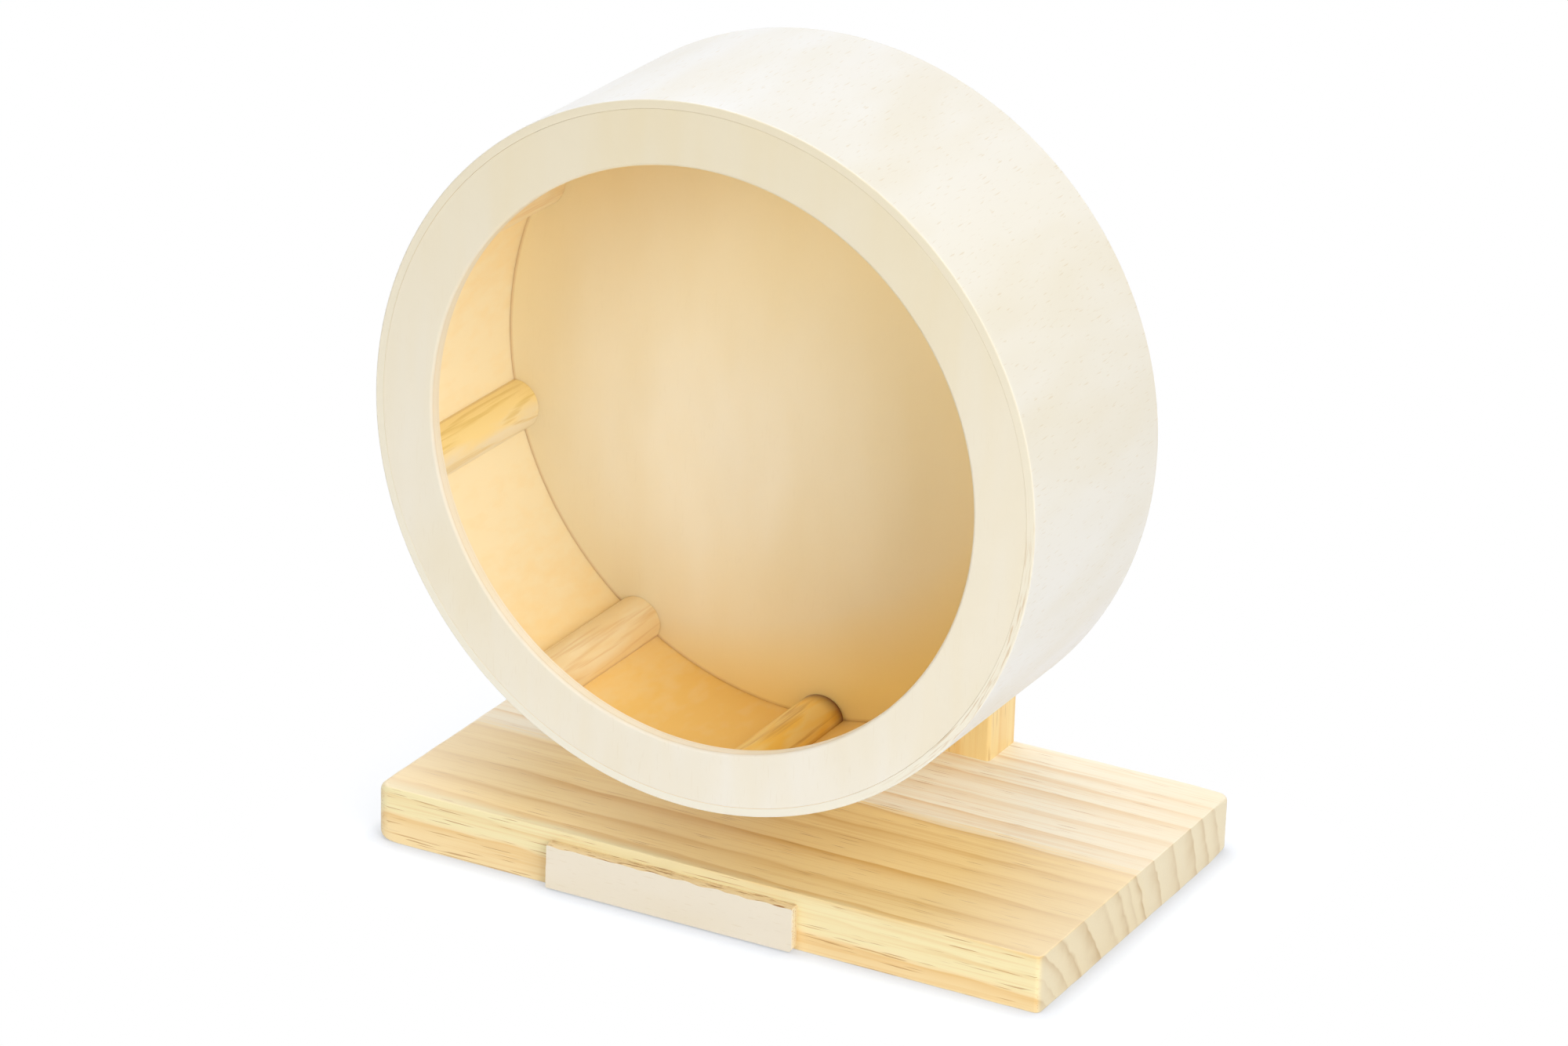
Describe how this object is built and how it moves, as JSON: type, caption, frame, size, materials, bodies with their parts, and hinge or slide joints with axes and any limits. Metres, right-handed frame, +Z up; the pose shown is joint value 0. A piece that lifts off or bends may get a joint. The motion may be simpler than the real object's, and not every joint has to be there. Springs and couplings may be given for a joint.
{
  "type": "rodent exercise wheel",
  "caption": "Wooden rodent exercise wheel: an open plywood drum with half-round rungs and a closed back spins on ball bearings, carried by a pine upright on a base board.",
  "frame": {"origin": "centre of the base board's underside, on the surface that the wheel stands on", "axes": "+Z up; +Y from the drum's open mouth to the upright, along the wheel's axle; +X to the right seen from the mouth"},
  "size_m": [0.21, 0.1433, 0.239],
  "materials": {
    "pine": "planed and sanded, unfinished",
    "plywood": "sanded veneer, unfinished",
    "rung_wood": "turned and sanded, unfinished",
    "bearing_steel": "ground and polished",
    "nylon": "moulded",
    "zinc_steel": "zinc plated"
  },
  "bodies": {
    "stand": {"base_board": "pine", "upright_board": "pine", "upright_screws": "zinc_steel", "front_plate": "plywood", "axle_bolt": "zinc_steel", "head_shim": "zinc_steel", "bearing_spacer": "zinc_steel", "hub_spacer": "zinc_steel", "front_washer": "zinc_steel", "rear_washer": "zinc_steel", "jam_nut": "zinc_steel", "lock_nut": "zinc_steel", "front_bearing_inner_race": "bearing_steel", "rear_bearing_inner_race": "bearing_steel"},
    "wheel": {"drum_band": "plywood", "front_ring": "plywood", "back_disc": "plywood", "rung_1": "rung_wood", "rung_2": "rung_wood", "rung_3": "rung_wood", "rung_4": "rung_wood", "rung_5": "rung_wood", "rung_6": "rung_wood", "rung_7": "rung_wood", "rung_8": "rung_wood", "rung_9": "rung_wood", "hub_block": "rung_wood", "front_bearing_outer_race": "bearing_steel", "front_bearing_shields": "bearing_steel", "rear_bearing_outer_race": "bearing_steel", "rear_bearing_shields": "bearing_steel"},
    "front_bearing_cage_set": {"front_bearing_balls": "bearing_steel", "front_bearing_cage": "nylon"},
    "rear_bearing_cage_set": {"rear_bearing_balls": "bearing_steel", "rear_bearing_cage": "nylon"}
  },
  "joints": [
    {"name": "wheel_spin", "type": "hinge", "parent": "stand", "child": "wheel", "pos_m": [0, 0.031, 0.1385], "axis": [0, 1, 0], "continuous": true},
    {"name": "front_bearing_cage_spin", "type": "hinge", "parent": "stand", "child": "front_bearing_cage_set", "pos_m": [0, 0.02, 0.1385], "axis": [0, 1, 0], "continuous": true},
    {"name": "rear_bearing_cage_spin", "type": "hinge", "parent": "stand", "child": "rear_bearing_cage_set", "pos_m": [0, 0.031, 0.1385], "axis": [0, 1, 0], "continuous": true}
  ],
  "couplings": [
    {"joint": "front_bearing_cage_spin", "follows": "wheel_spin", "ratio": 0.63233},
    {"joint": "rear_bearing_cage_spin", "follows": "wheel_spin", "ratio": 0.63233}
  ]
}
